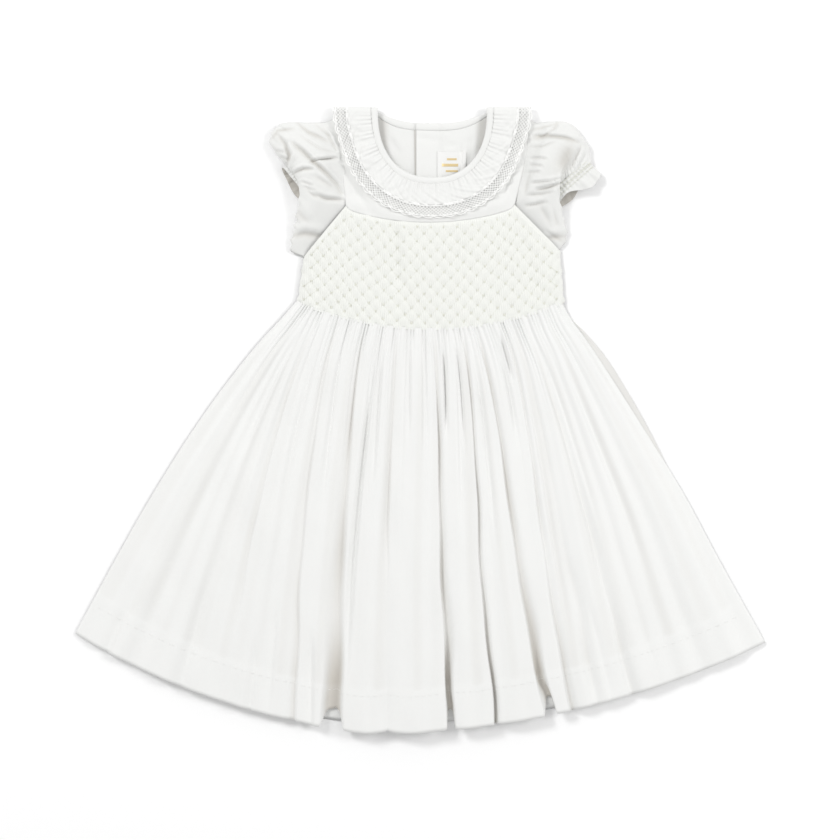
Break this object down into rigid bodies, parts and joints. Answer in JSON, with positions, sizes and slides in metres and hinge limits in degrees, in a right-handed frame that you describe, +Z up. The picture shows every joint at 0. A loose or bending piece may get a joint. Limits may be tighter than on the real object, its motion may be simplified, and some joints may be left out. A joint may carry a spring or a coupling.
{
  "type": "toddler dress",
  "caption": "White toddler dress laid flat: smocked front, ruffled lace-edged round collar, short puff sleeves and a full gathered skirt.",
  "frame": {"origin": "centre of the garment's outline on the surface that it lies on", "axes": "+X to the right as the front is seen from above, +Y from hem to neck, +Z up from the surface through the back to the front"},
  "size_m": [0.6408, 0.5815, 0.0223],
  "materials": {
    "cotton": "fine white cotton with a slight sheen",
    "smocked_cotton": "the same cotton, pleated and smocked with ivory thread at the chest, gathered below",
    "lace": "matt white cotton net lace with a diamond mesh",
    "label": "plain off-white satin tape with gold bars, no lettering",
    "button": "glossy white, four holes"
  },
  "bodies": {
    "root": {"skirt_back": "cotton", "back_left": "cotton", "back_right": "cotton", "front_panel": "smocked_cotton", "yoke_front": "cotton", "neck_binding": "cotton", "collar_frill": "cotton", "collar_lace": "lace", "sleeve_left": "cotton", "sleeve_right": "cotton", "cuff_left": "cotton", "cuff_right": "cotton", "neck_label": "label", "button_1": "button", "button_2": "button", "button_3": "button", "button_4": "button"}
  },
  "joints": []
}
